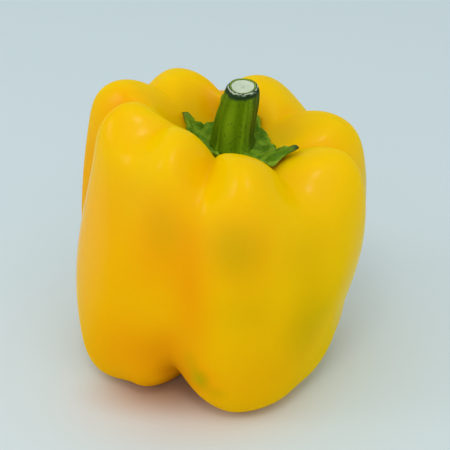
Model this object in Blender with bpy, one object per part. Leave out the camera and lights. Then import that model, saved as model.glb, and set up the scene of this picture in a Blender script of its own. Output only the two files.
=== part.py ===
"""A yellow bell pepper standing on its lobes: the fruit, the calyx and the cut stem.

Dimensions are in millimetres and the meshes in metres. Azimuths are in degrees,
counter-clockwise seen from above, from +X (right) with -Y towards the viewer.
"""

import math
from collections import namedtuple

import bpy
import numpy as np

MM = 0.001

# One shoulder ridge of the fruit, from the crown down to its foot.
Ridge = namedtuple(
    "Ridge",
    "crown_azimuth foot_azimuth crest_radius crest_height shoulder belly hip foot_radius foot_height",
)

# One groove between two ridges, as depths below them. A soft groove has a round bottom,
# and a groove may be sharp at the crown, soft on the wall and sharp again at the feet.
Groove = namedtuple(
    "Groove",
    "crown_azimuth foot_azimuth crest_in crest_down shoulder belly hip foot_in foot_up "
    "crown_soft wall_soft foot_soft",
)

# The ridges come in pairs, and each pair stands on one foot.
RIDGES = (
    Ridge(331, 308, 35, 79.5, 44.7, 42.6, 36.3, 25.5, 1),
    Ridge(365, 378, 29.5, 80, 40.3, 39.8, 36, 25, 2),
    Ridge(427, 417, 24, 82.2, 37, 38, 36, 26, -0.8),
    Ridge(481, 487, 26, 85, 39, 41, 38, 27, -0.8),
    Ridge(521, 520, 31, 87.8, 43.5, 46, 43, 31, 1.5),
    Ridge(555, 563, 28, 89.8, 39.5, 45.5, 46.5, 33.5, -0.7),
    Ridge(598.5, 578.5, 24, 87.5, 36.5, 41, 42, 22.5, -0.8),
    Ridge(639, 633, 31.5, 85, 43, 44, 43, 28.2, -0.8),
)

# The groove of a row lies just before the ridge of the same row.
GROOVES = (
    Groove(304, 291, 6, 9, 1.8, 0, 0, 0, 0, 0.10, 0.9, 0.9),
    Groove(345, 346, 7, 7, 4.5, 2, 1, 1, 2, 0.06, 0.4, 0.6),
    Groove(394, 396, 5, 6, 2.5, 0.7, 0, 0, 0, 0.10, 0.6, 0.9),
    Groove(455, 452, 7, 5, 4, 3, 3, 6, 8, 0.05, 0.4, 0.4),
    Groove(503, 503, 5, 5, 2.5, 0.7, 0, 0, 0, 0.10, 0.6, 0.9),
    Groove(539, 540, 7, 8, 5.5, 3.5, 3, 4, 6, 0.06, 0.4, 0.5),
    Groove(575, 571, 5, 4.5, 0.6, 0, 0, 0, 0, 0.12, 0.9, 0.9),
    Groove(618, 598.5, 6.5, 9, 1.9, 1.2, 3.5, 8, 11, 0.07, 0.5, 0.1),
)

# Places of these stations along a meridian.
CREST, BELOW_CREST, BELLY, FOOT = 3, 4, 6, 9

CROWN_FULLNESS = 0.66  # the lower, the rounder the lobes between their grooves
WALL_FULLNESS = 0.9
FOOT_FULLNESS = 0.68
SEAT_RADIUS = 8.0  # flat ground under the calyx
SEAT_HEIGHT = 70.0
BOWL_RADIUS = 9.0
DIMPLE_HEIGHT = 17.0  # blossom end, drawn up between the feet
FOOT_FLAT = 0.15  # skin lower than this is pressed flat against the ground
STEPS_PER_HALF_LOBE = 6
FRUIT_ROWS = 44

BED_GAP = 0.5  # clear space between the calyx and the crown that it lies in
STEM_GAP = 0.3
CALYX_MIDDLE = 1.6  # thickness under the stem
CALYX_EDGE = 0.8
CALYX_RINGS = 6
CALYX_CLIMB = 7.0  # highest that its edge climbs the lobes, above the seat
TIP_CURL = 0.8
TIP_FROM = 9.0  # length along the crown past which the edge curls up
BED_ROWS = 200

# Reach of the calyx from the axis: teeth run out along the grooves of the crown.
CALYX_EDGE_POINTS = (
    (-2, 14.5),
    (20, 13),
    (42, 16),
    (66, 13.5),
    (92, 15.5),
    (118, 14),
    (146, 17.5),
    (164, 13.5),
    (180, 15.5),
    (200, 13),
    (220, 15.5),
    (242, 13.5),
    (258, 16),
    (282, 14.5),
    (303, 22.5),
    (316, 22),
    (328, 24),
    (341, 18),
)

STEM_FOOT = (1.9, 0.0)
STEM_TIP = (4.0, -3.0)
STEM_TOP_HEIGHT = 93.0
STEM_SIDES = 36
STEM_RIBS = 6
STEM_RIB_DEPTH = 0.04

# Height as a share of the stem, radius, and share of the ribs left.
STEM_STATIONS = (
    (0.0, 7.3, 0.5),
    (0.04, 7.0, 0.9),
    (0.12, 6.65, 1.0),
    (0.3, 6.4, 1.0),
    (0.5, 6.1, 0.9),
    (0.7, 5.75, 0.7),
    (0.86, 5.4, 0.5),
    (0.93, 5.15, 0.4),
    (0.98, 4.65, 0.3),
    (1.0, 4.3, 0.2),
)
CUT_STATIONS = ((0.985, 3.8, 0.1), (0.97, 2.6, 0.0))
CUT_CENTRE = 0.965


def clear_scene():
    for old in list(bpy.data.objects):
        bpy.data.objects.remove(old, do_unlink=True)


def ridge_stations(ridge):
    """Radius and height from the seat, over the crest, to the blossom end."""
    rc, zc = ridge.crest_radius, ridge.crest_height
    rf, zf = ridge.foot_radius, ridge.foot_height
    return meridian(rc, zc, ridge.shoulder, ridge.belly, ridge.hip, rf, zf)


def groove_stations(groove, before, after):
    """The same for a groove, which lies below the mean of its two ridges."""
    mean = [(a + b) / 2 for a, b in zip(before, after)]
    middle = Ridge(*mean)
    return meridian(
        middle.crest_radius - groove.crest_in,
        middle.crest_height - groove.crest_down,
        middle.shoulder - groove.shoulder,
        middle.belly - groove.belly,
        middle.hip - groove.hip,
        middle.foot_radius - groove.foot_in,
        middle.foot_height + groove.foot_up,
    )


def meridian(crest_radius, crest_height, shoulder, belly, hip, foot_radius, foot_height):
    bowl_radius, bowl_height = BOWL_RADIUS + 0.12 * crest_radius, SEAT_HEIGHT + 1.0
    wall_radius = bowl_radius + 0.4 * (crest_radius - bowl_radius)
    wall_height = bowl_height + 0.56 * (crest_height - bowl_height)
    return np.array(
        [
            (SEAT_RADIUS, SEAT_HEIGHT),
            (bowl_radius, bowl_height),
            (wall_radius, wall_height),
            (crest_radius, crest_height),
            (crest_radius + 0.72 * (shoulder - crest_radius), crest_height - 4.5),
            (shoulder, crest_height - 15.0),
            (belly, 0.5 * crest_height),
            (hip, 0.18 * crest_height + foot_height),
            (hip - 0.26 * (hip - foot_radius), 0.055 * crest_height + foot_height),
            (foot_radius, foot_height),
            (0.62 * foot_radius, foot_height + 3.5),
            (0.0, DIMPLE_HEIGHT),
        ]
    )


def knots_of(stations):
    """Distance along a meridian, 0 to 1, at each of its stations."""
    steps = np.linalg.norm(np.diff(stations, axis=0), axis=1)
    along = np.concatenate([[0.0], np.cumsum(steps)])
    return along / along[-1]


def natural_spline(knots, values, at):
    """Natural cubic spline through values, which run along the first axis."""
    count = len(knots)
    h = np.diff(knots)
    flat = values.reshape(count, -1)
    system = np.eye(count)
    target = np.zeros(flat.shape)
    for i in range(1, count - 1):
        system[i, i - 1 : i + 2] = h[i - 1], 2 * (h[i - 1] + h[i]), h[i]
        rise = (flat[i + 1] - flat[i]) / h[i] - (flat[i] - flat[i - 1]) / h[i - 1]
        target[i] = 6 * rise
    bend = np.linalg.solve(system, target)
    k = np.clip(np.searchsorted(knots, at, side="right") - 1, 0, count - 2)
    past = (at - knots[k])[:, None]
    hk = h[k][:, None]
    slope = (flat[k + 1] - flat[k]) / hk - hk * (2 * bend[k] + bend[k + 1]) / 6
    curve = flat[k] + slope * past + bend[k] / 2 * past**2
    curve += (bend[k + 1] - bend[k]) / (6 * hk) * past**3
    return curve.reshape((len(at),) + values.shape[1:])


def through_four(a, b, c, d, u):
    """Smooth curve from b to c, with a before them and d after them."""
    bend = u * (3 * (b - c) + d - a)
    return b + 0.5 * u * ((c - a) + u * ((2 * a - 5 * b + 4 * c - d) + bend))


def smooth_step(x):
    x = np.clip(x, 0.0, 1.0)
    return x * x * (3 - 2 * x)


def lobe_height(from_groove, softness, fullness):
    """0 in the groove and 1 on the ridge, as a round dome between them."""
    floor = np.sqrt(1 + softness**2) - softness
    rise = (np.sqrt(from_groove**2 + softness**2) - softness) / floor
    return np.sin(0.5 * np.pi * rise) ** fullness


def turned(rows, index):
    """Azimuth of a groove or ridge counted round the fruit more than once."""
    count = rows.shape[1]
    return rows[:, index % count] + 360.0 * (index // count)


class Fruit:
    """The fruit's skin as meridians in columns, each row at one distance from the seat."""

    def __init__(self, rows):
        count = len(RIDGES)
        ridges = np.array([ridge_stations(r) for r in RIDGES])
        grooves = np.array(
            [groove_stations(g, RIDGES[i - 1], RIDGES[i]) for i, g in enumerate(GROOVES)]
        )
        knots = knots_of(ridges.mean(axis=0))
        at = np.linspace(0.0, 1.0, rows)
        self.ridges = natural_spline(knots, ridges.transpose(1, 0, 2), at)
        grooves = natural_spline(knots, grooves.transpose(1, 0, 2), at)
        mean = (np.roll(self.ridges, 1, axis=1) + self.ridges) / 2
        self.depth = mean - grooves
        down = smooth_step((at - knots[CREST]) / (1 - knots[CREST]))[:, None]
        crown = np.array([(g.crown_azimuth, r.crown_azimuth) for g, r in zip(GROOVES, RIDGES)])
        foot = np.array([(g.foot_azimuth, r.foot_azimuth) for g, r in zip(GROOVES, RIDGES)])
        self.azimuths = crown.reshape(1, -1) * (1 - down) + foot.reshape(1, -1) * down
        to_wall = smooth_step((at - knots[CREST]) / (knots[BELOW_CREST] - knots[CREST]))[:, None]
        to_foot = smooth_step((at - knots[BELLY]) / (knots[FOOT] - knots[BELLY]))[:, None]
        top, wall, end = np.array([(g.crown_soft, g.wall_soft, g.foot_soft) for g in GROOVES]).T
        self.soft = top + (wall - top) * to_wall + (end - wall) * to_foot
        fuller_wall = (WALL_FULLNESS - CROWN_FULLNESS) * to_wall[:, 0]
        self.fullness = CROWN_FULLNESS + fuller_wall + (FOOT_FULLNESS - WALL_FULLNESS) * to_foot[:, 0]
        self.count = count

    def column(self, half, u):
        """Points down the side, a share u of the way through one half lobe."""
        azimuth = through_four(*[turned(self.azimuths, half + k) for k in (-1, 0, 1, 2)], u)
        place = (half + u - 1) / 2
        first = math.floor(place)
        share = place - first
        near = [self.ridges[:, (first + k) % self.count] for k in (-1, 0, 1, 2)]
        base = through_four(*near, share)
        groove = (first + 1) % self.count
        height = lobe_height(abs(2 * share - 1), self.soft[:, groove], self.fullness)
        radius, z = (base - self.depth[:, groove] * (1 - height)[:, None]).T
        angle = np.radians(azimuth)
        return np.stack([radius * np.cos(angle), radius * np.sin(angle), z], axis=-1)

    def grid(self, steps):
        """All columns, as an array of rows by columns by x, y and z."""
        columns = []
        for half in range(2 * self.count):
            for step in range(steps):
                columns.append(self.column(half, step / steps))
        return np.stack(columns, axis=1)


def ring_quads(first, second, count):
    """Quads between two rings of points, given the index of each ring's first point."""
    quads = []
    for i in range(count):
        j = (i + 1) % count
        quads.append((first + i, second + i, second + j, first + j))
    return quads


def split(quads):
    """Each quad as two triangles, cut along the same diagonal."""
    triangles = []
    for a, b, c, d in quads:
        triangles.append((a, b, c))
        triangles.append((a, c, d))
    return triangles


def add_object(name, points, faces, colour, roughness):
    mesh = bpy.data.meshes.new(name)
    mesh.from_pydata([tuple(p * MM) for p in points], [], faces)
    mesh.validate()
    material = bpy.data.materials.new(name + "_material")
    material.use_nodes = True
    shader = material.node_tree.nodes["Principled BSDF"]
    shader.inputs["Base Color"].default_value = (*colour, 1.0)
    shader.inputs["Roughness"].default_value = roughness
    mesh.materials.append(material)
    thing = bpy.data.objects.new(name, mesh)
    bpy.context.scene.collection.objects.link(thing)
    return thing


def build_fruit(grid):
    """The fruit as one solid, with a flat seat on top and flat spots under its feet."""
    grid = grid.copy()
    grid[..., 2][grid[..., 2] < FOOT_FLAT] = 0.0
    rows, count = grid.shape[:2]
    rings = grid[:-1].reshape(-1, 3)
    tip = len(rings)
    points = np.vstack([rings, grid[-1, :1]])
    faces = [tuple(range(count))]
    for row in range(rows - 2):
        faces += ring_quads(row * count, (row + 1) * count, count)
    last = (rows - 2) * count
    for i in range(count):
        faces.append((last + i, tip, last + (i + 1) % count))
    return add_object("fruit", points, faces, (0.85, 0.48, 0.01), 0.3)


def calyx_reach(azimuth):
    """Radius of the calyx edge at an azimuth, rounded between the listed points."""
    table = np.array(CALYX_EDGE_POINTS, float)
    k = np.searchsorted(table[:, 0], azimuth % 360.0 - 2.0, side="right") - 1
    k = max(k, 0)
    start, end = table[k], table[(k + 1) % len(table)]
    span = (end[0] - start[0]) % 360.0
    share = ((azimuth - start[0]) % 360.0) / span
    return start[1] + (end[1] - start[1]) * smooth_step(share)


def crown_meridian(bed, column):
    """Radius and height of a column from the seat to its crest, and the distance along it."""
    top = int(np.argmax(bed[:, column, 2])) + 1
    radii = np.hypot(bed[:top, column, 0], bed[:top, column, 1])
    heights = bed[:top, column, 2]
    steps = np.hypot(np.diff(radii), np.diff(heights))
    return radii, heights, np.concatenate([[0.0], np.cumsum(steps)])


def calyx_end(bed, column):
    """How far the calyx runs out along one column, by its reach or by its climb."""
    azimuth = math.atan2(bed[1, column, 1], bed[1, column, 0])
    radii, heights, along = crown_meridian(bed, column)
    by_radius = np.interp(calyx_reach(math.degrees(azimuth)), radii, along)
    by_height = np.interp(SEAT_HEIGHT + CALYX_CLIMB, heights, along)
    return min(by_radius, by_height)


def calyx_column(bed, column, end):
    """Lower and upper points of the calyx on one column, from the middle to its edge."""
    azimuth = math.atan2(bed[1, column, 1], bed[1, column, 0])
    radii, heights, along = crown_meridian(bed, column)
    share = np.linspace(0.0, 1.0, CALYX_RINGS)
    r, z = np.interp(end * share, along, radii), np.interp(end * share, along, heights)
    out, up = np.gradient(r), np.gradient(z)
    out[0], up[0] = 1.0, 0.0
    length = np.hypot(out, up)
    thick = CALYX_EDGE + (CALYX_MIDDLE - CALYX_EDGE) * (1 - share) ** 2
    curl = TIP_CURL * share**3 * max(0.0, min(1.0, (end - TIP_FROM) / 3.0))
    faces = []
    for lift in (BED_GAP + curl, BED_GAP + curl + thick):
        radius = r - lift * up / length
        height = z + lift * out / length
        x, y = radius * math.cos(azimuth), radius * math.sin(azimuth)
        faces.append(np.stack([x, y, height], axis=-1))
    return faces


def build_calyx(bed):
    """The calyx as one thin waved solid that lies in the crown of the fruit."""
    count = bed.shape[1]
    ends = np.array([calyx_end(bed, i) for i in range(count)])
    ends = np.mean([np.roll(ends, k) for k in (-2, -1, -1, 0, 0, 0, 1, 1, 2)], axis=0)
    columns = [calyx_column(bed, i, end) for i, end in enumerate(ends)]
    lower = np.stack([c[0] for c in columns], axis=1).reshape(-1, 3)
    upper = np.stack([c[1] for c in columns], axis=1).reshape(-1, 3)
    points = np.vstack([lower, upper])
    top = CALYX_RINGS * count
    faces = []
    for ring in range(CALYX_RINGS - 1):
        inner, outer = ring * count, (ring + 1) * count
        faces += [tuple(reversed(f)) for f in split(ring_quads(inner, outer, count))]
        faces += split(ring_quads(top + inner, top + outer, count))
    edge = (CALYX_RINGS - 1) * count
    faces += split(ring_quads(top + edge, edge, count))
    faces.append(tuple(reversed(range(count))))
    faces.append(tuple(range(top, top + count)))
    return add_object("calyx", points, faces, (0.13, 0.26, 0.02), 0.55)


def stem_ring(share, radius, ribs):
    """One ribbed ring of the stem, at a share of its height."""
    foot = SEAT_HEIGHT + BED_GAP + CALYX_MIDDLE + STEM_GAP
    z = foot + (STEM_TOP_HEIGHT - foot) * share
    bend = share**1.5
    x = STEM_FOOT[0] + (STEM_TIP[0] - STEM_FOOT[0]) * bend
    y = STEM_FOOT[1] + (STEM_TIP[1] - STEM_FOOT[1]) * bend
    angles = np.arange(STEM_SIDES) * 2 * np.pi / STEM_SIDES
    radii = radius * (1 + STEM_RIB_DEPTH * ribs * np.cos(STEM_RIBS * angles))
    heights = np.full(STEM_SIDES, z)
    return np.stack([x + radii * np.cos(angles), y + radii * np.sin(angles), heights], axis=-1)


def build_stem():
    """The stem as one ribbed solid with a chamfered, slightly sunken cut."""
    stations = STEM_STATIONS + CUT_STATIONS
    rings = [stem_ring(*station) for station in stations]
    centre = stem_ring(CUT_CENTRE, 0.0, 0.0)[:1]
    points = np.vstack(rings + [centre])
    faces = [tuple(reversed(range(STEM_SIDES)))]
    for i in range(len(rings) - 1):
        upper, lower = (i + 1) * STEM_SIDES, i * STEM_SIDES
        faces += ring_quads(upper, lower, STEM_SIDES)
    last = (len(rings) - 1) * STEM_SIDES
    tip = len(points) - 1
    for i in range(STEM_SIDES):
        faces.append((last + i, last + (i + 1) % STEM_SIDES, tip))
    return add_object("stem", points, faces, (0.10, 0.22, 0.02), 0.5)


def recentre(things):
    """Move every mesh so that the whole stands on z = 0, centred on the origin."""
    everything = np.array([v.co for t in things for v in t.data.vertices])
    low, high = everything.min(axis=0), everything.max(axis=0)
    middle = (low + high) / 2
    for thing in things:
        for vertex in thing.data.vertices:
            vertex.co.x -= middle[0]
            vertex.co.y -= middle[1]
            vertex.co.z -= low[2]


def main():
    clear_scene()
    grid = Fruit(FRUIT_ROWS).grid(STEPS_PER_HALF_LOBE)
    fruit = build_fruit(grid)
    bed = Fruit(BED_ROWS).grid(STEPS_PER_HALF_LOBE)
    calyx = build_calyx(bed)
    stem = build_stem()
    recentre([fruit, calyx, stem])


if __name__ == "__main__":
    main()
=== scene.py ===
"""Yellow bell pepper: skin, calyx and cut stem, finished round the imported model."""

import math

import bpy
from bpy.props import FloatProperty, FloatVectorProperty, IntProperty, PointerProperty
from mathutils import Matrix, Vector, noise
from mathutils.bvhtree import BVHTree


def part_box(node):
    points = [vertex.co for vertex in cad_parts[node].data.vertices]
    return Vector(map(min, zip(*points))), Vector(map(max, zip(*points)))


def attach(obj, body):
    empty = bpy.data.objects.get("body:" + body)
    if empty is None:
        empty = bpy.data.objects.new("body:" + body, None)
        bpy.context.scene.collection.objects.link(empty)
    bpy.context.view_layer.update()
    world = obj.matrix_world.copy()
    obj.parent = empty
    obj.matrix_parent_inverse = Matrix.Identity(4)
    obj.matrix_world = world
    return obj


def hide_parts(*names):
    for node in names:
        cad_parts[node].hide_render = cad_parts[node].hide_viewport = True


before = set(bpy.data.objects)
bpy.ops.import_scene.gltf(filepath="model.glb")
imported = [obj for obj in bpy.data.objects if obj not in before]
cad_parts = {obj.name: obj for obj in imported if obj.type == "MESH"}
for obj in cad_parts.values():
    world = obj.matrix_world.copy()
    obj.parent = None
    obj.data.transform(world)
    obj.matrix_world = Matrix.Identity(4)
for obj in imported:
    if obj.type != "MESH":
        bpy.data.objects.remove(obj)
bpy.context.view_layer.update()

bl_info = {
    "name": "Bell Pepper",
    "version": (1, 0, 0),
    "blender": (4, 5, 0),
    "location": "View3D > Sidebar > Pepper",
    "description": "Finishes a yellow bell pepper with its calyx and cut stem",
    "category": "Object",
}

MM = 0.001
AXIS = Vector((2.23, 3.64, 0.0)) * MM  # the fruit's own axis, beside the middle of the box


# Settings


def colour_property(name, description, default):
    return FloatVectorProperty(
        name=name, description=description, default=default, size=3, subtype="COLOR", min=0.0, max=1.0
    )


def length_property(name, description, millimetres):
    return FloatProperty(
        name=name,
        description=description,
        default=millimetres * MM,
        unit="LENGTH",
        subtype="DISTANCE",
        precision=5,
    )


def share_property(name, description, default):
    return FloatProperty(
        name=name, description=description, default=default, min=0.0, max=1.0, subtype="FACTOR"
    )


def power_property(name, description, default):
    return FloatProperty(name=name, description=description, default=default, min=0.0, unit="POWER")


class PepperSkinSettings(bpy.types.PropertyGroup):
    lemon: colour_property("Lemon", "Skin of the shoulders and the right side", (0.97, 0.57, 0.0))
    golden: colour_property("Golden", "Skin of the riper left side", (0.97, 0.46, 0.0))
    # Orange is partly the skin's own colour and partly painted warm shade in the crown's valleys and near the
    # feet.
    orange: colour_property("Orange", "Skin of the seam between the front lobes", (0.93, 0.36, 0.0))
    # Painted shade: a dark orange laid in the split between the feet and low round the bottom.
    split_shade: colour_property("Deep", "Skin down in the split between the feet", (0.62, 0.20, 0.0))
    olive: colour_property("Olive", "Skin that is still a little green", (0.50, 0.38, 0.0))
    roughness: share_property("Roughness", "Roughness of the waxy skin", 0.22)
    gloss: share_property("Gloss", "Strength of the wax on the shoulders", 0.16)
    edge_gloss: share_property("Edge gloss", "Strength of the wax on the outer flanks and the back", 0.9)
    swell: length_property("Swell", "Height of the slow waves in the skin", 0.25)
    swell_length: length_property("Swell length", "Distance from wave to wave", 22.0)
    smoothing: IntProperty(
        name="Smoothing", description="Subdivision levels of the skin", default=2, min=0, max=3
    )


class PepperGreensSettings(bpy.types.PropertyGroup):
    calyx: colour_property("Calyx", "Leafy green of the calyx", (0.09, 0.21, 0.006))
    calyx_vein: colour_property("Calyx veins", "Paler green of the calyx's veins and rim", (0.25, 0.42, 0.02))
    calyx_tip: colour_property("Calyx tips", "Dark dried ends of the longest teeth", (0.03, 0.06, 0.02))
    stem: colour_property("Stem", "Green of the stem", (0.10, 0.20, 0.001))
    # The streak colour also paints the sheen left of the front of the stem.
    stem_streak_and_sheen: colour_property("Stem streaks", "Paler green of the stem's streaks", (0.25, 0.43, 0.01))
    pith: colour_property("Pith", "Pale flesh of the cut end", (0.60, 0.70, 0.52))
    ring: colour_property("Ring", "Brownish vessels round the pith", (0.09, 0.11, 0.03))
    # The bruise colour also paints the shade on the stem's right side.
    bruise_and_shade: colour_property("Bruise", "Dark chamfer round the cut", (0.016, 0.042, 0.012))
    wrinkle: length_property("Wrinkle", "Height of the lumps and veins of the calyx", 0.75)
    cut_slope: share_property("Cut slope", "How far the cut leans to the front, as rise over run", 0.12)
    bruise_height: length_property("Bruise height", "Height of the dark chamfer at the front", 2.1)


class PepperStudioSettings(bpy.types.PropertyGroup):
    floor: colour_property("Floor", "Pale floor and backdrop", (0.67, 0.79, 0.82))
    # Painted on the floor: warm bounced light and soft shadow close to the fruit, and a darker warm shadow
    # under the left foot.
    painted_floor_glow: colour_property("Floor glow", "Floor close to the fruit, warmed by it", (0.80, 0.66, 0.54))
    painted_floor_shadow: colour_property("Floor under", "Floor under the left foot, warmed most", (0.48, 0.25, 0.09))
    sky: colour_property("Sky", "Soft light from all round", (0.95, 0.98, 1.0))
    sky_strength: FloatProperty(
        name="Sky strength", description="Strength of the soft light", default=0.65, min=0.0
    )
    ceiling_power: power_property("Ceiling power", "Power of the lamp over the front", 1.8)
    glint_power: power_property("Glint power", "Power of the small lamp that glints on the wax", 0.9)
    window_power: power_property("Window power", "Power of the lamp on the left", 0.9)


# Mesh helpers

MERGE_DISTANCE = 0.01 * MM
QUAD_BEND = math.radians(60)  # most that two triangles may fold and still make a quad
QUAD_SKEW = math.radians(70)


def deselect_all():
    if bpy.context.mode != "OBJECT":
        bpy.ops.object.mode_set(mode="OBJECT")
    bpy.ops.object.select_all(action="DESELECT")


def activate(thing):
    deselect_all()
    thing.select_set(True)
    bpy.context.view_layer.objects.active = thing


def copy_of_node(node, name):
    """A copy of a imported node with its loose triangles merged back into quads."""
    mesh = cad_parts[node].data.copy()
    mesh.name = name
    mesh.materials.clear()
    piece = bpy.data.objects.new(name, mesh)
    bpy.context.scene.collection.objects.link(piece)
    activate(piece)
    if mesh.has_custom_normals:
        bpy.ops.mesh.customdata_custom_splitnormals_clear()
    bpy.ops.object.mode_set(mode="EDIT")
    bpy.ops.mesh.select_all(action="SELECT")
    bpy.ops.mesh.remove_doubles(threshold=MERGE_DISTANCE)
    bpy.ops.mesh.mark_sharp(clear=True)
    bpy.ops.mesh.tris_convert_to_quads(face_threshold=QUAD_BEND, shape_threshold=QUAD_SKEW)
    bpy.ops.object.mode_set(mode="OBJECT")
    return piece


def subdivide(piece, levels):
    activate(piece)
    modifier = piece.modifiers.new("Smooth", "SUBSURF")
    modifier.levels = levels
    modifier.render_levels = levels
    bpy.ops.object.modifier_apply(modifier=modifier.name)


def smooth_shading(piece):
    activate(piece)
    bpy.ops.object.shade_smooth()


def keep_inside(piece, node):
    """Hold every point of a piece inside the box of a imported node."""
    low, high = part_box(node)
    for vertex in piece.data.vertices:
        for axis in range(3):
            vertex.co[axis] = min(max(vertex.co[axis], low[axis]), high[axis])


def raise_skin(piece, height):
    """Move each point along its normal by height(place, normal)."""
    normals = [v.normal.copy() for v in piece.data.vertices]
    for vertex, normal in zip(piece.data.vertices, normals):
        vertex.co += normal * height(vertex.co, normal)
    piece.data.update()


def float_attribute(piece, name, values):
    layer = piece.data.attributes.new(name, "FLOAT", "POINT")
    layer.data.foreach_set("value", values)


def vector_attribute(piece, name, vectors):
    layer = piece.data.attributes.new(name, "FLOAT_VECTOR", "POINT")
    layer.data.foreach_set("vector", [value for vector in vectors for value in vector])


def rise(value, low, high):
    """0 at low and 1 at high, with soft ends."""
    share = min(max((value - low) / (high - low), 0.0), 1.0)
    return share * share * (3.0 - 2.0 * share)


def finish_piece(piece, node):
    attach(piece, "root")
    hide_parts(node)


# Material helpers

COLOUR_A, COLOUR_B, COLOUR_RESULT = 6, 7, 2  # colour sockets of a Mix node


def new_material(name):
    """A new material, its node tree and its Principled shader."""
    material = bpy.data.materials.new(name)
    material.use_nodes = True
    tree = material.node_tree
    return material, tree, tree.nodes["Principled BSDF"]


def add(tree, kind, **settings):
    """A new node with the given settings."""
    node = tree.nodes.new(kind)
    for key, value in settings.items():
        setattr(node, key, value)
    return node


def put(tree, node, key, value):
    """Set an input of a node to a value, or link it to another node's output."""
    if isinstance(value, bpy.types.NodeSocket):
        tree.links.new(value, node.inputs[key])
    else:
        node.inputs[key].default_value = value


def math_node(tree, operation, a, b):
    node = add(tree, "ShaderNodeMath", operation=operation)
    put(tree, node, 0, a)
    put(tree, node, 1, b)
    return node.outputs[0]


def mixed(tree, share, first, second):
    """The first colour where the share is 0 and the second where it is 1."""
    node = add(tree, "ShaderNodeMix", data_type="RGBA")
    put(tree, node, "Factor", share)
    put(tree, node, COLOUR_A, first)
    put(tree, node, COLOUR_B, second)
    return node.outputs[COLOUR_RESULT]


def spread(tree, value, low, high, to_low=0.0, to_high=1.0):
    """Map a value from one range to another with soft ends."""
    node = add(tree, "ShaderNodeMapRange", interpolation_type="SMOOTHSTEP")
    put(tree, node, "Value", value)
    put(tree, node, "From Min", low)
    put(tree, node, "From Max", high)
    put(tree, node, "To Min", to_low)
    put(tree, node, "To Max", to_high)
    return node.outputs[0]


def object_place(tree):
    return add(tree, "ShaderNodeTexCoord").outputs["Object"]


def attribute(tree, name, output="Fac"):
    return add(tree, "ShaderNodeAttribute", attribute_name=name).outputs[output]


def grain(tree, place, scale, detail=2.0, stretch=(1.0, 1.0, 1.0)):
    """Noise from 0 to 1, with scale in spots per metre."""
    mapping = add(tree, "ShaderNodeMapping")
    put(tree, mapping, "Vector", place)
    put(tree, mapping, "Scale", stretch)
    node = add(tree, "ShaderNodeTexNoise")
    put(tree, node, "Vector", mapping.outputs[0])
    put(tree, node, "Scale", scale)
    put(tree, node, "Detail", detail)
    return node.outputs["Fac"]


def relief(tree, shader, height, distance):
    bump = add(tree, "ShaderNodeBump")
    put(tree, bump, "Height", height)
    put(tree, bump, "Distance", distance)
    put(tree, bump, "Strength", 1.0)
    put(tree, shader, "Normal", bump.outputs[0])


def full(colour):
    """A colour with its alpha."""
    return (*colour, 1.0)


def patch_group():
    """A soft oval patch: its mask falls from 1 at the centre to 0 at its edge."""
    group = bpy.data.node_groups.get("Soft patch")
    if group:
        return group
    group = bpy.data.node_groups.new("Soft patch", "ShaderNodeTree")
    group.interface.new_socket("Place", in_out="INPUT", socket_type="NodeSocketVector")
    group.interface.new_socket("Centre", in_out="INPUT", socket_type="NodeSocketVector")
    group.interface.new_socket("Size", in_out="INPUT", socket_type="NodeSocketVector")
    group.interface.new_socket("Strength", in_out="INPUT", socket_type="NodeSocketFloat")
    group.interface.new_socket("Mask", in_out="OUTPUT", socket_type="NodeSocketFloat")
    start = group.nodes.new("NodeGroupInput")
    end = group.nodes.new("NodeGroupOutput")
    offset = add(group, "ShaderNodeVectorMath", operation="SUBTRACT")
    put(group, offset, 0, start.outputs["Place"])
    put(group, offset, 1, start.outputs["Centre"])
    scaled = add(group, "ShaderNodeVectorMath", operation="DIVIDE")
    put(group, scaled, 0, offset.outputs[0])
    put(group, scaled, 1, start.outputs["Size"])
    length = add(group, "ShaderNodeVectorMath", operation="LENGTH")
    put(group, length, 0, scaled.outputs[0])
    mask = spread(group, length.outputs["Value"], 0.0, 1.0, 1.0, 0.0)
    put(group, end, "Mask", math_node(group, "MULTIPLY", mask, start.outputs["Strength"]))
    return group


def patch(tree, place, centre, size, strength):
    """Mask of a soft patch, with its centre and reach in millimetres."""
    node = add(tree, "ShaderNodeGroup", node_tree=patch_group())
    put(tree, node, "Place", place)
    put(tree, node, "Centre", [value * MM for value in centre])
    put(tree, node, "Size", [value * MM for value in size])
    put(tree, node, "Strength", strength)
    return node.outputs["Mask"]


def painted(tree, place, colour, patches, paint):
    """A colour with soft patches of a paint over it."""
    for centre, size, strength in patches:
        colour = mixed(tree, patch(tree, place, centre, size, strength), colour, full(paint))
    return colour


# Fruit

# Blotches of the skin, and patches of painted shade: centre and reach in millimetres, and strength.
# Orange of the seam and of riper skin, and painted warm shade down in the crown's valleys and low near the
# feet.
ORANGE_AND_WARM_SHADE_PATCHES = (
    ((-8, -34, 47), (10, 16, 36), 0.8),
    ((-13, -34, 22), (12, 16, 20), 0.9),
    ((-28, -24, 14), (26, 20, 20), 0.7),
    ((-2, 26, 76), (8, 14, 14), 0.7),
    ((-26, 8, 80), (10, 9, 12), 0.5),
    ((22, 14, 74), (9, 9, 12), 0.4),
    ((4, -32, 14), (46, 30, 40), 0.5),
    ((-6, -37, 16), (10, 10, 11), 0.9),
    ((4, -38, 60), (20, 14, 26), 0.45),
    ((-18, -32, 58), (16, 14, 26), 0.6),
    ((-22, -28, 20), (20, 18, 20), 0.7),
    ((-35, 2, 84), (16, 18, 18), 0.6),
    ((-42, 10, 55), (14, 26, 42), 0.7),
    ((10, 38, 30), (14, 14, 44), 0.5),
    ((38, 10, 24), (14, 22, 26), 0.35),
    ((6, 18, 72), (16, 16, 10), 0.5),
)
# Painted shade in the split between the feet and round the bottom, in the deep colour.
SPLIT_SHADE_PATCHES = (
    ((-12, -29, 13), (9, 15, 13), 1.0),
    ((-10, -20, 4), (24, 24, 8), 0.8),
    ((-18, -30, 21), (14, 14, 14), 0.25),
)
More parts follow.
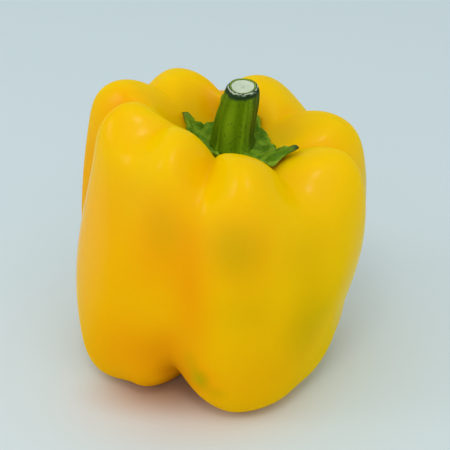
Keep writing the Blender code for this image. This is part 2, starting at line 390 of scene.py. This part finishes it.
OLIVE_BLOTCHES = (
    ((-6, -37, 17), (4.5, 6, 6), 0.8),
    ((-2, -38, 13), (6, 8, 4), 0.3),
    ((-8.5, -36, 22), (4, 6, 7), 0.35),
    ((26, -33, 34), (14, 14, 22), 0.45),
    ((24, -32, 56), (12, 14, 18), 0.2),
    ((4, -39, 62), (13, 12, 16), 0.45),
    ((6, -40, 42), (16, 12, 14), 0.2),
    ((-16, -30, 63), (10, 12, 14), 0.25),
    ((6, -22, 84), (36, 28, 18), 0.22),
    ((-22, 34, 34), (16, 16, 24), 0.35),
    ((40, 6, 58), (12, 16, 20), 0.3),
)

RIPE_SIDE = (4 * MM, -26 * MM)  # x over which lemon turns to golden
RIPE_BELOW = (88 * MM, 60 * MM)  # z over which that turn comes in
RIPE_DRIFT = 30 * MM  # how far its edge wanders

# Where the skin shines most: centre and reach in millimetres.
GLOSSY_FLANKS = (
    ((-41, -9, 57), (15, 26, 54)),
    ((42, -8, 44), (16, 30, 52)),
    ((0, 42, 48), (52, 24, 50)),
)
WAX_HEIGHTS = (45 * MM, 75 * MM)  # z over which the wax grows towards the shoulders
LOW_WAX = 0.4  # share of it below them
WAX_ROUGHNESS = 0.17
ROUGHNESS_SPREAD = (-0.03, 0.05)
FLESH_SHARE = 0.6  # light that passes through the skin and out again
FLESH_REACH = (1.0, 0.45, 0.05)  # how far its red, green and blue go, as shares of the depth
FLESH_DEPTH = 10 * MM
PORE_HEIGHT = 0.05 * MM


def skin_colour(tree, settings, place):
    split = add(tree, "ShaderNodeSeparateXYZ")
    put(tree, split, 0, place)
    cloud = grain(tree, place, scale=60.0, detail=3.0)
    drift = math_node(tree, "MULTIPLY", math_node(tree, "SUBTRACT", cloud, 0.5), RIPE_DRIFT)
    side = math_node(tree, "ADD", split.outputs["X"], drift)
    low = spread(tree, split.outputs["Z"], *RIPE_BELOW)
    ripe = math_node(tree, "MULTIPLY", spread(tree, side, *RIPE_SIDE), low)
    colour = mixed(tree, ripe, full(settings.lemon), full(settings.golden))
    # Orange of the skin, with painted warm shade in the hollows.
    colour = painted(tree, place, colour, ORANGE_AND_WARM_SHADE_PATCHES, settings.orange)
    # Painted shade in the split between the feet and round the bottom.
    colour = painted(tree, place, colour, SPLIT_SHADE_PATCHES, settings.split_shade)
    return painted(tree, place, colour, OLIVE_BLOTCHES, settings.olive)


def wax(tree, settings, place):
    """Strength of the waxy layer: most on the outer flanks and the back, least low on the front."""
    split = add(tree, "ShaderNodeSeparateXYZ")
    put(tree, split, 0, place)
    weight = spread(tree, split.outputs["Z"], *WAX_HEIGHTS, LOW_WAX * settings.gloss, settings.gloss)
    for centre, size in GLOSSY_FLANKS:
        flank = patch(tree, place, centre, size, settings.edge_gloss)
        weight = math_node(tree, "MAXIMUM", weight, flank)
    return weight


def skin_material(settings):
    material, tree, shader = new_material("pepper_skin")
    place = object_place(tree)
    put(tree, shader, "Base Color", skin_colour(tree, settings, place))
    low, high = [settings.roughness + change for change in ROUGHNESS_SPREAD]
    put(tree, shader, "Roughness", spread(tree, grain(tree, place, scale=90.0), 0.3, 0.7, low, high))
    shader.inputs["Specular IOR Level"].default_value = 0.0
    put(tree, shader, "Coat Weight", wax(tree, settings, place))
    shader.inputs["Coat Roughness"].default_value = WAX_ROUGHNESS
    shader.inputs["Subsurface Weight"].default_value = FLESH_SHARE
    shader.inputs["Subsurface Radius"].default_value = FLESH_REACH
    shader.inputs["Subsurface Scale"].default_value = FLESH_DEPTH
    relief(tree, shader, grain(tree, place, scale=130.0), PORE_HEIGHT)
    return material


class PEPPER_OT_fruit(bpy.types.Operator):
    """Finish the lobed fruit with its waxy yellow skin"""

    bl_idname = "pepper.fruit"
    bl_label = "Fruit"

    def execute(self, context):
        settings = context.scene.pepper_skin
        piece = copy_of_node("fruit", "pepper_skin")
        subdivide(piece, settings.smoothing)

        def swell(place, normal):
            return settings.swell * noise.noise(place / settings.swell_length)

        raise_skin(piece, swell)
        keep_inside(piece, "fruit")
        smooth_shading(piece)
        piece.data.materials.append(skin_material(settings))
        finish_piece(piece, "fruit")
        return {"FINISHED"}


# Calyx

# Outline of the calyx round the fruit's axis: azimuth in degrees and reach in millimetres.
CALYX_OUTLINE = (
    (0, 12.6), (6, 12.2), (25, 12.4), (43, 12.8), (53, 14.4), (62, 12.6), (80, 12.8), (92, 14.5),
    (103, 13.2), (116, 12.4), (130, 12.6), (140, 13.0), (146, 15.4), (150, 13.6), (165, 12.4),
    (180, 15.0), (197, 12.8), (220, 15.4), (240, 13.2), (258, 15.8), (275, 14.0), (292, 17.0),
    (302, 21.5), (309, 22.5), (316, 22.6), (320, 23.4), (323, 24.6), (329, 19.8), (344, 14.8),
    (360, 12.6),
)
VEINS = (54, 92, 146, 180, 220, 258, 305, 323)  # azimuth of each tooth's middle line
VEIN_WIDTH = 1.0 * MM
VEIN_LIFT = 0.8  # height of the veins, as a share of the wrinkle setting
LUMP_SIZE = 2.6 * MM
LUMP_FRACTAL = (0.9, 2.0, 3)  # dimension, lacunarity and octaves
LUMP_LIFT = 0.3  # added to the fractal, so that most of the leaf is raised
LUMP_FLOOR = -0.3  # the deepest hollow, as a share of the wrinkle setting
STEM_SKIRT = (6.5 * MM, 9.0 * MM)  # distance from the axis over which the lumps come in
UPPER_SIDE = 0.1  # least upward normal of the leafy side
# The dry ends of two teeth: centre and reach in millimetres, and strength.
DARK_TIPS = (
    ((-10.5, 12.2, 77.2), (2.5, 2.5, 2.5), 0.7),
    ((22.2, -11.4, 79.5), (4.0, 4.0, 4.5), 1.0),
)
PALE_BLOTCHES = 0.7  # how pale the blotches get, as a share of the vein colour
PALE_VEINS = 0.6
RIM_REACH = (0.93, 0.99)  # share of the way to the edge over which the pale rim comes in
SECTORS = 180
CALYX_LEVELS = 2


def polar(place):
    """Distance and azimuth in degrees of a place, from the fruit's axis."""
    offset = place - AXIS
    return math.hypot(offset.x, offset.y), math.degrees(math.atan2(offset.y, offset.x)) % 360


def outline_at(azimuth):
    """Reach of the calyx at an azimuth, straight between the listed points."""
    spans = zip(CALYX_OUTLINE, CALYX_OUTLINE[1:])
    (start, near), (end, far) = next(span for span in spans if azimuth <= span[1][0])
    return (near + (far - near) * (azimuth - start) / (end - start)) * MM


def sector_of(azimuth):
    return int(azimuth / 360 * SECTORS) % SECTORS


def edge_radii(mesh):
    """Largest distance from the axis in each sector round it."""
    radii = [0.0] * SECTORS
    for vertex in mesh.vertices:
        radius, azimuth = polar(vertex.co)
        sector = sector_of(azimuth)
        radii[sector] = max(radii[sector], radius)
    return radii


def skin_below():
    """Height of the fruit's skin under a place, as a function of x and y."""
    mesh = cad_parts["fruit"].data
    faces = [tuple(face.vertices) for face in mesh.polygons]
    skin = BVHTree.FromPolygons([vertex.co.copy() for vertex in mesh.vertices], faces)

    def height(x, y):
        above, down = Vector((x, y, 1.0)), Vector((0.0, 0.0, -1.0))
        return skin.ray_cast(above, down)[0].z

    return height


def draw_to_outline(piece):
    """Move the edge to the outline, each point keeping its height above the fruit.

    The attribute "reach" keeps how far out each point lies, 0 at the axis and 1 at the edge.
    """
    mesh = piece.data
    height = skin_below()
    radii = edge_radii(mesh)
    shares = []
    for vertex in mesh.vertices:
        radius, azimuth = polar(vertex.co)
        widest = radii[sector_of(azimuth)]
        share = min(radius / widest, 1.0)
        shares.append(share)
        scale = 1.0 + (outline_at(azimuth) / widest - 1.0) * share
        x = AXIS.x + (vertex.co.x - AXIS.x) * scale
        y = AXIS.y + (vertex.co.y - AXIS.y) * scale
        vertex.co = (x, y, vertex.co.z + height(x, y) - height(vertex.co.x, vertex.co.y))
    mesh.update()
    float_attribute(piece, "reach", shares)


def vein_height(place):
    """1 on the middle line of the nearest tooth and 0 away from it."""
    radius, azimuth = polar(place)
    apart = min(abs((azimuth - vein + 180) % 360 - 180) for vein in VEINS)
    return math.exp(-((math.radians(apart) * radius / VEIN_WIDTH) ** 2))


def calyx_material(settings):
    material, tree, shader = new_material("pepper_calyx")
    place = object_place(tree)
    blotch = spread(tree, grain(tree, place, scale=320.0, detail=4.0), 0.44, 0.66, 0.0, PALE_BLOTCHES)
    vein = math_node(tree, "MULTIPLY", attribute(tree, "vein"), PALE_VEINS)
    pale = math_node(tree, "MAXIMUM", blotch, vein)
    broken = spread(tree, grain(tree, place, scale=300.0), 0.4, 0.6)
    rim = math_node(tree, "MULTIPLY", spread(tree, attribute(tree, "reach"), *RIM_REACH), broken)
    pale = math_node(tree, "MAXIMUM", pale, rim)
    colour = mixed(tree, pale, full(settings.calyx), full(settings.calyx_vein))
    put(tree, shader, "Base Color", painted(tree, place, colour, DARK_TIPS, settings.calyx_tip))
    shader.inputs["Roughness"].default_value = 0.5
    shader.inputs["Specular IOR Level"].default_value = 0.08
    relief(tree, shader, grain(tree, place, scale=500.0, detail=4.0), 0.6 * MM)
    return material


class PEPPER_OT_calyx(bpy.types.Operator):
    """Finish the toothed calyx that lies in the crown"""

    bl_idname = "pepper.calyx"
    bl_label = "Calyx"

    def execute(self, context):
        settings = context.scene.pepper_greens
        piece = copy_of_node("calyx", "pepper_calyx")
        subdivide(piece, CALYX_LEVELS)
        draw_to_outline(piece)
        float_attribute(piece, "vein", [vein_height(v.co) for v in piece.data.vertices])

        def lumps(place, normal):
            if normal.z < UPPER_SIDE:
                return 0.0
            away = rise(polar(place)[0], *STEM_SKIRT)
            lump = max(noise.fractal(place / LUMP_SIZE, *LUMP_FRACTAL) + LUMP_LIFT, LUMP_FLOOR)
            return settings.wrinkle * away * (lump + VEIN_LIFT * vein_height(place))

        raise_skin(piece, lumps)
        keep_inside(piece, "fruit")
        smooth_shading(piece)
        piece.data.materials.append(calyx_material(settings))
        finish_piece(piece, "calyx")
        return {"FINISHED"}


# Stem

RIBS = 13
RIB_HEIGHT = 0.1 * MM
RIB_WAVER = 2.0  # how far the ribs wander sideways, in radians of their pattern
RIB_CLIMB = 90.0  # how fast they wander with height, in radians per metre
RIB_RADII = (4.4 * MM, 4.8 * MM)  # distance from the cut's middle over which the ribs come in
FOOT_TUCK = 1.3 * MM  # how far the right side draws in towards the foot
FOOT_TUCK_SPAN = (4 * MM, 18 * MM)  # depth below the top over which it does
TIP_TUCK = 0.65 * MM  # how far the left side draws in towards the tip
TIP_TUCK_SPAN = (14 * MM, 3 * MM)
PITH_RADIUS = 2.7 * MM
PITH_DEPTH = 0.6 * MM
SLOPE_SPAN = (3.5 * MM, 0.5 * MM)  # depth below the top over which the cut's slope comes in
CUT_DEPTH = 0.9 * MM  # a point this close to the top lies on the cut
OFF_CUT = 10 * MM  # stands for the radius of any other point
BACK_BRUISE = 0.45  # height of the bruise at the back, as a share of the front's
FRONT_SPAN = (-0.8, 0.9)  # from the back, at -1, to the front, at 1, over which that share grows
WRAP_RADIUS = 5 * MM  # radius of the tube that the streaks are laid out on
STEM_SLICES = 12
STEM_LEVELS = 3

STREAK_PALE = 0.75  # how pale the streaks get, as a share of their colour
DOT_DARK = 0.5  # painted shade on the right side: how dark it gets, as a share of the bruise colour
RIGHT_SHADE = 0.45  # the same for the right side
RIGHT_SHADE_SPAN = (1.0 * MM, 5.0 * MM)  # x on the tube over which the painted shade on the right comes in
BRUISE_EDGE = (1.4, 0.7)  # where the bruise ends and is full, as shares of its height
RAGGED = 1.2 * MM  # how far the edges of the bruise and the rings wander
# A broad painted sheen left of the front, in the streak colour: centre and reach in millimetres, and
# strength.
BROAD_PAINTED_SHEEN = ((-1.8, -4.7, 80.0), (2.6, 2.6, 16.0), 0.7)
RIM_EDGE = (4.75 * MM, 4.5 * MM)  # radius over which the cut's pale flecks come in
RING_EDGE = 0.15 * MM  # width of the soft edge of each ring


def centre_line(mesh):
    """Height of the stem's foot and tip, and its middle in slices from one to the other."""
    low = min(vertex.co.z for vertex in mesh.vertices)
    high = max(vertex.co.z for vertex in mesh.vertices)
    sums = [[0.0, 0.0, 0] for _ in range(STEM_SLICES)]
    for vertex in mesh.vertices:
        place = int((vertex.co.z - low) / (high - low) * STEM_SLICES)
        total = sums[min(place, STEM_SLICES - 1)]
        total[0] += vertex.co.x
        total[1] += vertex.co.y
        total[2] += 1
    return low, high, [(x / count, y / count) for x, y, count in sums]


def middle_at(line, z):
    low, high, middles = line
    place = (z - low) / (high - low) * len(middles) - 0.5
    first = min(max(math.floor(place), 0), len(middles) - 2)
    share = min(max(place - first, 0.0), 1.0)
    (ax, ay), (bx, by) = middles[first], middles[first + 1]
    return ax + (bx - ax) * share, ay + (by - ay) * share


def shape_stem(piece, cut_slope):
    """Rib the stem, draw its sides in, sink the pith and slope the cut.

    Three attributes keep what its material needs: "wrap" is each point's place on an upright
    tube, "cut_radius" its distance from the middle of the cut, and "below_cut" its depth below
    it, stretched at the back, where the bruise is lower.
    """
    line = centre_line(piece.data)
    top = line[1]
    tip_x, tip_y = middle_at(line, top)
    wraps, radii, depths = [], [], []
    for vertex in piece.data.vertices:
        x, y, z = vertex.co
        middle_x, middle_y = middle_at(line, z)
        angle = math.atan2(y - middle_y, x - middle_x)
        right, back = math.cos(angle), math.sin(angle)
        radius = math.hypot(x - tip_x, y - tip_y) if z > top - CUT_DEPTH else OFF_CUT
        front = rise(-back, *FRONT_SPAN)
        wraps.append((WRAP_RADIUS * right, WRAP_RADIUS * back, z))
        radii.append(radius)
        depths.append((top - z) / (BACK_BRUISE + (1.0 - BACK_BRUISE) * front))

        wave = math.cos(RIBS * angle + RIB_WAVER * math.sin(angle * 2.0 + z * RIB_CLIMB))
        rib = RIB_HEIGHT * rise(radius, *RIB_RADII) * wave
        x += rib * right - FOOT_TUCK * max(right, 0.0) * rise(top - z, *FOOT_TUCK_SPAN)
        x += TIP_TUCK * max(-right, 0.0) * rise(z, *[top - depth for depth in TIP_TUCK_SPAN])
        y += rib * back
        if radius < PITH_RADIUS:
            z = top - PITH_DEPTH
        lean = cut_slope * min(y - tip_y, 0.0)
        z += lean * rise(z, *[top - depth for depth in SLOPE_SPAN])
        vertex.co = (x, y, z)
    vector_attribute(piece, "wrap", wraps)
    float_attribute(piece, "cut_radius", radii)
    float_attribute(piece, "below_cut", depths)


def stem_skin(tree, settings, wrap, streak):
    """Colour of the stem's side: green with pale streaks, a painted sheen left of the front and dark dots,
    and painted shade on the right.
    """
    pale = spread(tree, streak, 0.46, 0.70, 0.0, STREAK_PALE)
    # Painted sheen: a broad paler patch left of the front.
    pale = math_node(tree, "MAXIMUM", pale, patch(tree, wrap, *BROAD_PAINTED_SHEEN))
    colour = mixed(tree, pale, full(settings.stem), full(settings.stem_streak_and_sheen))
    specks = grain(tree, wrap, scale=2200.0, detail=1.0, stretch=(1.0, 1.0, 0.45))
    dots = math_node(tree, "MULTIPLY", spread(tree, specks, 0.60, 0.68), DOT_DARK)
    colour = mixed(tree, dots, colour, full(settings.bruise_and_shade))
    split = add(tree, "ShaderNodeSeparateXYZ")
    put(tree, split, 0, wrap)
    # Painted shade: the right side darkened towards the bruise colour.
    right = spread(tree, split.outputs["X"], *RIGHT_SHADE_SPAN, 0.0, RIGHT_SHADE)
    return mixed(tree, right, colour, full(settings.bruise_and_shade))


def stem_cut(tree, settings, colour, ragged, fine):
    """The bruised chamfer, and inside it the flecked rim, the rings and the pith."""
    depth = math_node(tree, "ADD", attribute(tree, "below_cut"), ragged)
    edge = [share * settings.bruise_height for share in BRUISE_EDGE]
    colour = mixed(tree, spread(tree, depth, *edge), colour, full(settings.bruise_and_shade))
    wander = math_node(tree, "MULTIPLY", ragged, 0.4)
    radius = math_node(tree, "ADD", attribute(tree, "cut_radius"), wander)
    flecks = spread(tree, fine, 0.35, 0.55)
    rim = math_node(tree, "MULTIPLY", spread(tree, radius, *RIM_EDGE), flecks)
    colour = mixed(tree, rim, colour, full(settings.pith))
    rings = (  # the outer radius of each and its colour, from the rim inwards
        (4.5 * MM, settings.bruise_and_shade),
        (4.15 * MM, settings.calyx_vein),
        (3.9 * MM, settings.ring),
        (3.65 * MM, settings.pith),
    )
    for reach, finish in rings:
        inside = spread(tree, radius, reach, reach - RING_EDGE)
        colour = mixed(tree, inside, colour, full(finish))
    return colour


def stem_material(settings):
    material, tree, shader = new_material("pepper_stem")
    place = object_place(tree)
    wrap = attribute(tree, "wrap", "Vector")
    fine = grain(tree, place, scale=1100.0, detail=3.0)
    rough = math_node(tree, "SUBTRACT", grain(tree, place, scale=900.0, detail=3.0), 0.5)
    ragged = math_node(tree, "MULTIPLY", rough, RAGGED)
    streak = grain(tree, wrap, scale=520.0, detail=3.0, stretch=(1.0, 1.0, 0.05))
    colour = stem_skin(tree, settings, wrap, streak)
    put(tree, shader, "Base Color", stem_cut(tree, settings, colour, ragged, fine))
    shader.inputs["Roughness"].default_value = 0.45
    shader.inputs["Specular IOR Level"].default_value = 0.07
    height = math_node(tree, "ADD", streak, math_node(tree, "MULTIPLY", fine, 0.3))
    relief(tree, shader, height, 0.35 * MM)
    return material


class PEPPER_OT_stem(bpy.types.Operator):
    """Finish the ribbed stem with its bruised rim and pale cut end"""

    bl_idname = "pepper.stem"
    bl_label = "Stem"

    def execute(self, context):
        settings = context.scene.pepper_greens
        piece = copy_of_node("stem", "pepper_stem")
        subdivide(piece, STEM_LEVELS)
        shape_stem(piece, settings.cut_slope)
        keep_inside(piece, "stem")
        smooth_shading(piece)
        piece.data.materials.append(stem_material(settings))
        finish_piece(piece, "stem")
        return {"FINISHED"}


# Stage

TARGET = AXIS + Vector((0.0, 0.0, 40.0)) * MM
CAMERA_DISTANCE = 0.6
CAMERA_ELEVATION = math.radians(32.0)
PIXELS = 450
FOCAL_PIXELS = 2004.0
SENSOR = 36.0
CENTRE_OFFSET = (3.0, 12.6)  # pixels right and down from the frame's middle to the target
CLIP_START = 0.01

FLOOR_SIZE = 8.0
# Painted warm light and shadow that the fruit throws on the floor: centre and reach in millimetres, and
# strength.
PAINTED_GLOW_PATCHES = (((-10, -26, 0), (50, 34, 10), 0.6),)
PAINTED_SHADOW_PATCHES = (((-17, -20, 0), (31, 17, 10), 0.68),)

# Place and size of each lamp in metres.
CEILING_LIGHT = ((0.0, -0.5, 0.75), 0.9)
GLINT_LIGHT = ((-0.05, -0.5, 0.75), 0.18)
WINDOW_LIGHT = ((-0.8, -0.2, 0.4), 0.3)
CEILING_COLOUR = (1.0, 0.98, 0.96)
WHITE = (1.0, 1.0, 1.0)


def add_camera():
    away = Vector((0.0, -math.cos(CAMERA_ELEVATION), math.sin(CAMERA_ELEVATION)))
    data = bpy.data.cameras.new("camera")
    data.sensor_width = SENSOR
    data.lens = FOCAL_PIXELS / PIXELS * SENSOR
    data.shift_x = -CENTRE_OFFSET[0] / PIXELS
    data.shift_y = CENTRE_OFFSET[1] / PIXELS
    data.clip_start = CLIP_START
    camera = bpy.data.objects.new("camera", data)
    bpy.context.scene.collection.objects.link(camera)
    camera.location = TARGET + away * CAMERA_DISTANCE
    camera.rotation_euler = (-away).to_track_quat("-Z", "Y").to_euler()
    bpy.context.scene.camera = camera


def add_area_light(name, place, size, power, colour):
    """A square lamp that shines at the fruit."""
    data = bpy.data.lights.new(name, "AREA")
    data.size = size
    data.energy = power
    data.color = colour
    light = bpy.data.objects.new(name, data)
    bpy.context.scene.collection.objects.link(light)
    light.location = place
    light.rotation_euler = (TARGET - Vector(place)).to_track_quat("-Z", "Y").to_euler()


def floor_material(settings):
    material, tree, shader = new_material("studio_floor")
    place = object_place(tree)
    # Painted warm light and shadow round the fruit, then painted shadow under the left foot.
    colour = painted(tree, place, full(settings.floor), PAINTED_GLOW_PATCHES, settings.painted_floor_glow)
    colour = painted(tree, place, colour, PAINTED_SHADOW_PATCHES, settings.painted_floor_shadow)
    put(tree, shader, "Base Color", colour)
    shader.inputs["Roughness"].default_value = 0.8
    shader.inputs["Specular IOR Level"].default_value = 0.1
    return material


def add_world(settings):
    world = bpy.data.worlds.new("studio")
    world.use_nodes = True
    background = world.node_tree.nodes["Background"]
    background.inputs["Color"].default_value = full(settings.sky)
    background.inputs["Strength"].default_value = settings.sky_strength
    bpy.context.scene.world = world


class PEPPER_OT_stage(bpy.types.Operator):
    """Set the pale floor, the soft light and the camera"""

    bl_idname = "pepper.stage"
    bl_label = "Stage"

    def execute(self, context):
        settings = context.scene.pepper_studio
        deselect_all()
        bpy.ops.mesh.primitive_plane_add(size=FLOOR_SIZE, location=(0.0, 0.0, 0.0))
        floor = context.active_object
        floor.name = "studio_floor"
        floor.data.materials.append(floor_material(settings))
        add_world(settings)
        add_area_light("ceiling_light", *CEILING_LIGHT, settings.ceiling_power, CEILING_COLOUR)
        add_area_light("glint_light", *GLINT_LIGHT, settings.glint_power, WHITE)
        add_area_light("window_light", *WINDOW_LIGHT, settings.window_power, WHITE)
        add_camera()
        context.scene.view_settings.view_transform = "Standard"
        return {"FINISHED"}


# Panel and registration


class PEPPER_PT_panel(bpy.types.Panel):
    """Lists the pieces and their settings"""

    bl_idname = "PEPPER_PT_panel"
    bl_label = "Bell Pepper"
    bl_space_type = "VIEW_3D"
    bl_region_type = "UI"
    bl_category = "Pepper"

    def draw(self, context):
        layout = self.layout
        for operator in OPERATORS:
            layout.operator(operator.bl_idname)
        scene = context.scene
        for settings in (scene.pepper_skin, scene.pepper_greens, scene.pepper_studio):
            box = layout.box()
            for key in settings.__annotations__:
                box.prop(settings, key)


OPERATORS = (PEPPER_OT_fruit, PEPPER_OT_calyx, PEPPER_OT_stem, PEPPER_OT_stage)
SETTINGS = (PepperSkinSettings, PepperGreensSettings, PepperStudioSettings)
CLASSES = SETTINGS + OPERATORS + (PEPPER_PT_panel,)


def register():
    for cls in CLASSES:
        bpy.utils.register_class(cls)
    bpy.types.Scene.pepper_skin = PointerProperty(type=PepperSkinSettings)
    bpy.types.Scene.pepper_greens = PointerProperty(type=PepperGreensSettings)
    bpy.types.Scene.pepper_studio = PointerProperty(type=PepperStudioSettings)


def unregister():
    del bpy.types.Scene.pepper_studio
    del bpy.types.Scene.pepper_greens
    del bpy.types.Scene.pepper_skin
    for cls in reversed(CLASSES):
        bpy.utils.unregister_class(cls)


def main():
    register()
    bpy.ops.pepper.fruit()
    bpy.ops.pepper.calyx()
    bpy.ops.pepper.stem()
    bpy.ops.pepper.stage()


if __name__ == "__main__":
    main()
